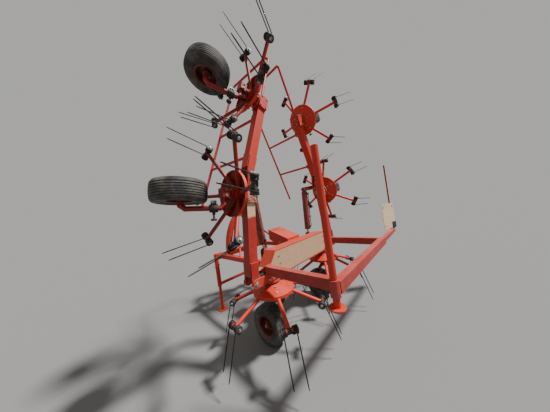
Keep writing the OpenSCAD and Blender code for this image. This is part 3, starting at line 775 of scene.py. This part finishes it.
# Wheels
# Each rotor runs on a small ribbed implement tyre on a pressed rim with four nuts. The rubber
# is black under patches of grey dust, and soil has turned the red of the rims to brown.
rubber = Paint("dusty_rubber", IOR=1.5)
dust = rubber.noise(9.0, 6.0, 0.65)
pores = rubber.noise(260.0, 3.0, 0.6)
rubber.bump(pores * 0.4 + dust, 0.0010, 0.5)
shows = (dust * 0.8 + pores * 0.3).step(0.42, 0.75)
dusty_rubber = rubber.finish(
    rubber.mix(shows, (0.022, 0.021, 0.021), (0.13, 0.115, 0.098)), 0.62 + dust * 0.25
)
wheel_paint = aged_red(
    "wheel_paint", fresh=(0.085, 0.018, 0.013), bleached=(0.17, 0.050, 0.034), bleach=0.30, dirt_and_shade=0.8
)
dress(wheel_paint, *(f"rim_{k}" for k in rotors))

# Half section of the tyre: seven ribs on a slightly round tread, then flank and bead
ribs, tread_width, groove, groove_depth = 7, 0.125, 0.0046, 0.006
rib_width = (tread_width + groove) / ribs - groove
rib_shoulder, shoulder_run, shoulder_drop = 0.0006, 0.0018, 0.0008


def crown(z):
    """Radius of the tread at this distance from the tyre's middle."""
    tyre_radius, roundness = 0.1995, 1.5
    return tyre_radius - roundness * z * z


tread = []
for rib in range(ribs):
    z0 = -tread_width / 2 + rib * (rib_width + groove)
    z1 = z0 + rib_width
    if rib > 0:
        tread += [(crown(z0) - groove_depth, z0)]
    tread += [(crown(z0) - shoulder_drop, z0 + rib_shoulder), (crown(z0), z0 + shoulder_run)]
    tread += [(crown(z1), z1 - shoulder_run), (crown(z1) - shoulder_drop, z1 - rib_shoulder)]
    if rib < ribs - 1:
        tread += [(crown(z1) - groove_depth, z1)]
flank = [
    (0.1875, 0.0715), (0.1835, 0.0740), (0.1830, 0.0765), (0.1740, 0.0800), (0.1735, 0.0790),
    (0.1600, 0.0818), (0.1500, 0.0823), (0.1400, 0.0815), (0.1395, 0.0800), (0.1280, 0.0775),
    (0.1180, 0.0725), (0.1130, 0.0680), (0.1022, 0.0662),
]
tyre_section = [(r, -z) for r, z in flank[::-1]] + tread + flank
wheel_ahead, axle_drop = 0.120, 0.400
nut_circle, nut_seat = 0.062, 0.0018
for k in rotors:
    hub = Matrix.Translation((0, wheel_ahead, -axle_drop)) @ Matrix.Rotation(math.pi / 2, 4, "Y")
    hub = rotor_place(k) @ hub
    tyre = Mesh()
    tyre.turned(hub, tyre_section, 96)
    made = tyre.piece(f"ribbed_tyre_{k}", f"wheel_{k}", dusty_rubber, 28)
    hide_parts(f"tyre_{k}")
    nuts = Mesh()
    for i in range(4):
        quarter = hub @ Matrix.Rotation(math.pi / 2 * i, 4, "Z")
        nuts.bolt(quarter @ Matrix.Translation((nut_circle, 0, nut_seat)), across=0.019, high=0.011)
    nuts.piece(f"wheel_nuts_{k}", f"wheel_{k}", weathered_zinc)

# Wheel arms
# A bent tube carries each wheel's axle, and a block with four screws holds it on the fixed
# post under the rotor. A black cast clamp with a hand crank sits at the top of its slant.
arm_paint = aged_red(
    "wheel_arm_paint", fresh=(0.22, 0.010, 0.006), bleached=(0.35, 0.050, 0.030), bleach=0.28, dirt_and_shade=0.9
)
dress(arm_paint, "centre_wheel_legs")
for name, _ in sides:
    dress(arm_paint, f"inner_wheel_leg_{name}", f"outer_wheel_leg_{name}")
black_casting = dusted(
    "black_casting",
    bare=(0.018, 0.014, 0.012),
    dust=(0.085, 0.040, 0.024),
    grain=(26.0, 5.0, 0.65),
    shows=(0.5, 0.75),
    relief=(0.0012, 0.5),
    matt=(0.55, 0.3),
)
block_height, block_face, block_row, axle_end = -0.098, 0.040, 0.024, 0.062
# On the clamp, local Z runs down the slanting stretch of the arm
slant_top, slant = (-0.128, 0.012, -0.128), (0, 0.096, -0.240)
clamp_sleeve = [
    (0, 0.018), (0.0320, 0.018), (0.0350, 0.023), (0.0350, 0.080), (0.0320, 0.086), (0, 0.086)
]
ears_low, ears_high = (-0.064, -0.016, 0.030), (-0.030, 0.016, 0.074)
ear_bolt_out, ear_bolt_heights, ear_face = -0.050, (0.041, 0.063), 0.016
boss_low, boss_high = (0.030, -0.011, 0.040), (0.052, 0.011, 0.064)
crank, crank_radius = [(0.050, 0, 0.052), (0.088, 0, 0.052)], 0.0075
knob_seat = (0.084, 0, 0.052)
knob = [(0, 0), (0.0200, 0), (0.0240, 0.004), (0.0240, 0.014), (0.0200, 0.018), (0, 0.018)]
carriers = "outer_left", "inner_left", "frame", "frame", "inner_right", "outer_right"
for k, carrier in zip(rotors, carriers):
    casting, screws = Mesh(), Mesh()
    on_tube = rotor_place(k) @ facing(slant_top, slant)
    casting.turned(on_tube, clamp_sleeve, 24)
    casting.box(on_tube, ears_low, ears_high)
    casting.box(on_tube, boss_low, boss_high)
    casting.tube(on_tube, crank, crank_radius, 10)
    casting.turned(on_tube @ facing(knob_seat, (1, 0, 0)), knob, 20)
    for s in (-1, 1):
        for z in ear_bolt_heights:
            ear = on_tube @ facing((ear_bolt_out, s * ear_face, z), (0, s, 0))
            screws.bolt(ear, across=0.017, high=0.009)
    for s in (-1, 1):
        for x in (-block_row, block_row):
            block = rotor_place(k) @ facing((x, s * block_face, block_height), (0, s, 0))
            screws.bolt(block, across=0.017, high=0.009)
    axle_nut = rotor_place(k) @ facing((axle_end, wheel_ahead, -axle_drop), (1, 0, 0))
    screws.bolt(axle_nut, across=0.026, high=0.010)
    casting.piece(f"arm_clamp_{k}", carrier, black_casting)
    screws.piece(f"arm_clamp_bolts_{k}", carrier, weathered_zinc)

# Fold cylinders
# One hydraulic cylinder folds each wing, pinned between a lug on the wing and a fork on the
# centre box. The barrels are tube in dull dark red, each with a steel pipe, the rods chromed.
barrel = Paint("barrel_paint", IOR=1.46)
film = barrel.noise(14.0, 5.0, 0.6)
barrel.bump(barrel.noise(240.0, 3.0, 0.6), 0.0006, 0.4)
barrel_paint = barrel.finish(
    barrel.mix(film.step(0.4, 0.7), (0.16, 0.020, 0.016), (0.26, 0.060, 0.045)), 0.42 + film * 0.3
)
dress(barrel_paint, "cylinder_barrel_left", "cylinder_barrel_right")

barrel_pin = inner_wing @ Vector((lug_out, lug_ahead, lug_above))
rod_eye = Vector((0.445, -0.095, 0.930))
reach = (barrel_pin - rod_eye).length
up_rod = (barrel_pin - rod_eye).normalized()
across = Vector((0, 1, 0)).cross(up_rod)
# Local Z runs up the cylinder, and is 0 at the barrel's pin and -reach at the rod's
along_barrel = Matrix.Translation(barrel_pin) @ Matrix((across, (0, 1, 0), up_rod)).transposed().to_4x4()
low_port, high_port, port_foot, union_seat = 0.128 - reach, -0.075, -0.040, 0.013
port = [(0, 0), (0.0150, 0), (0.0150, 0.012), (0.0110, 0.015), (0, 0.015)]
pipe_radius, pipe_side = 0.0055, 0.022
clip_low, clip_high, clip_half = (0.010, -0.055), (0.034, -0.036), 0.008
pipe = [
    (0, -0.060, low_port),
    (0.014, -0.0605, low_port + 0.006),
    (0.020, -0.056, low_port + 0.030),
    (pipe_side, -0.048, low_port + 0.070),
    (pipe_side, -0.047, high_port - 0.060),
    (pipe_side, -0.052, high_port - 0.010),
    (pipe_side, -0.060, high_port + 0.020),
]
gland_nut = [
    (0.0185, 0.085 - reach),
    (0.0405, 0.085 - reach),
    (0.0430, 0.088 - reach),
    (0.0430, 0.104 - reach),
    (0.0185, 0.104 - reach),
]
for name, side in sides:
    place = on_side(side, along_barrel)
    pipes = Mesh()
    for z in (low_port, high_port):
        at_port = place @ facing((0, port_foot, z), (0, -1, 0))
        pipes.turned(at_port, port, 16)
        pipes.bolt(at_port @ Matrix.Translation((0, 0, union_seat)), across=0.020, high=0.010)
    # The pipe from the rod end's port up the barrel, in two clips
    pipes.tube(place, pipe, pipe_radius, 10)
    for share in (0.3, 0.7):
        z = low_port + (high_port - low_port) * share
        pipes.box(place, (*clip_low, z - clip_half), (*clip_high, z + clip_half))
    pipes.turned(place, gland_nut, 24)
    pipes.piece(f"barrel_pipes_{name}", f"barrel_{name}", greasy_iron)

chrome = Paint("rod_chrome", IOR=1.5)
haze = chrome.noise(30.0, 4.0, 0.6)
bright, hazy = (0.62, 0.60, 0.57), (0.50, 0.46, 0.42)
rod_chrome = chrome.finish(chrome.mix(haze, bright, hazy), 0.16 + haze * 0.25, 0.95)
rod_radius, rod_low, rod_high, rod_chamfer = 0.0172, 0.030 - reach, -0.0520, 0.0020
polished = [
    (0, rod_low),
    (rod_radius, rod_low),
    (rod_radius, rod_high - rod_chamfer),
    (0.0155, rod_high),
    (0, rod_high),
]
# The forged eye, the collar that it grows out of, and the pin through it
eye_bore, eye_radius, eye_half, eye_chamfer = 0.0125, 0.0280, 0.018, 0.0025
eye_pin_radius, eye_pin_half = 0.0124, 0.0197
forged = [
    (eye_bore, -eye_half),
    (eye_radius - eye_chamfer, -eye_half),
    (eye_radius, eye_chamfer - eye_half),
    (eye_radius, eye_half - eye_chamfer),
    (eye_radius - eye_chamfer, eye_half),
    (eye_bore, eye_half),
]
collar = [
    (0, 0.022 - reach),
    (0.0235, 0.022 - reach),
    (0.0235, 0.036 - reach),
    (0.0180, 0.042 - reach),
    (0, 0.042 - reach),
]
for name, side in sides:
    place = on_side(side, along_barrel)
    rod, eye = Mesh(), Mesh()
    rod.turned(place, polished, 48)
    made = rod.piece(f"chromed_rod_{name}", f"rod_{name}", rod_chrome)
    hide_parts(f"cylinder_rod_{name}")
    at_pin = place @ facing((0, 0, -reach), (0, 1, 0))
    eye.turned(at_pin, forged, 40)
    eye.turned(place, collar, 32)
    eye.ring(at_pin, 0, eye_pin_radius, -eye_pin_half, eye_pin_half, 32)
    eye.piece(f"rod_eye_{name}", f"rod_{name}", greasy_iron)

# Studio
# A pale seamless floor under a soft sun from high on the camera's right. The air has the
# brightness of the lit floor, so no horizon shows. The view and its tilt are the photograph's.
half_floor = 400
floor_tone = (0.190, 0.188, 0.184)
sweep = bpy.data.meshes.new("studio_floor")
corners = [(x * half_floor, y * half_floor, 0) for x, y in ((-1, -1), (1, -1), (1, 1), (-1, 1))]
sweep.from_pydata(corners, [], [(0, 1, 2, 3)])
floor = bpy.data.objects.new("studio_floor", sweep)
bpy.context.scene.collection.objects.link(floor)
pale = Paint("pale_floor", Specular_IOR_Level=0.0)
sweep.materials.append(pale.finish(floor_tone, 1.0))
floor.location = (0, 0, -0.001)

sun = bpy.data.lights.new("soft_sun", "SUN")
sun.energy, sun.angle = 7.4, math.radians(6)
holder = bpy.data.objects.new("soft_sun", sun)
bpy.context.scene.collection.objects.link(holder)
from_sun = Vector((-0.38, 0.50, -0.95)).normalized()
holder.rotation_euler = from_sun.to_track_quat("-Z", "Y").to_euler()

world = bpy.data.worlds.new("studio_air")
bpy.context.scene.world = world
world.use_nodes = True
air = [tone / (1 - tone) * sun.energy * -from_sun.z / math.pi for tone in floor_tone]
world.node_tree.nodes["Background"].inputs["Color"].default_value = (*air, 1.0)
world.node_tree.nodes["Background"].inputs["Strength"].default_value = 1.0

photo_width, focal_pixels = 550, 170.33
lens = bpy.data.cameras.new("camera")
lens.sensor_width = 36.0
lens.lens = lens.sensor_width * focal_pixels / photo_width
lens.clip_start, lens.clip_end = 0.05, 300
camera = bpy.data.objects.new("camera", lens)
bpy.context.scene.collection.objects.link(camera)
camera_place = (-1.684, -1.532, 1.383)
heading, tip, roll = math.radians(46.34), math.radians(0.82), math.radians(8.09)
camera.matrix_world = (
    Matrix.Translation(camera_place)
    @ Matrix.Rotation(-heading, 4, "Z")
    @ Matrix.Rotation(math.pi / 2 + tip, 4, "X")
    @ Matrix.Rotation(-roll, 4, "Z")
)
bpy.context.scene.camera = camera
